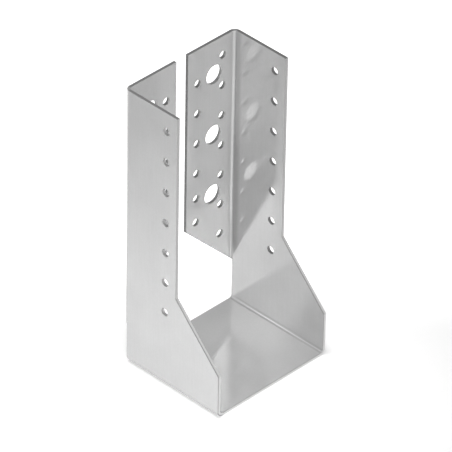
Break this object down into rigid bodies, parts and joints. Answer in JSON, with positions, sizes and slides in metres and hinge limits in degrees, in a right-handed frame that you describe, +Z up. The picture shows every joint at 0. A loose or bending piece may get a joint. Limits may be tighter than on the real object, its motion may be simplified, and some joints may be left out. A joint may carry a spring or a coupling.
{
  "type": "joist hanger",
  "caption": "Folded sheet-steel joist hanger with a flat seat, two side walls with sloped fronts and punched flanges that turn inwards behind the joist.",
  "frame": {"origin": "middle of the bounding box in X and Y, at the underside of the seat", "axes": "+Z up along the walls, +Y towards the header that the flanges are fixed to, +X to the right when looking at the header"},
  "size_m": [0.084, 0.074, 0.182],
  "materials": {
    "zinc_coated_steel": "satin zinc coating, light grey"
  },
  "bodies": {
    "root": {"hanger": "zinc_coated_steel"}
  },
  "joints": []
}
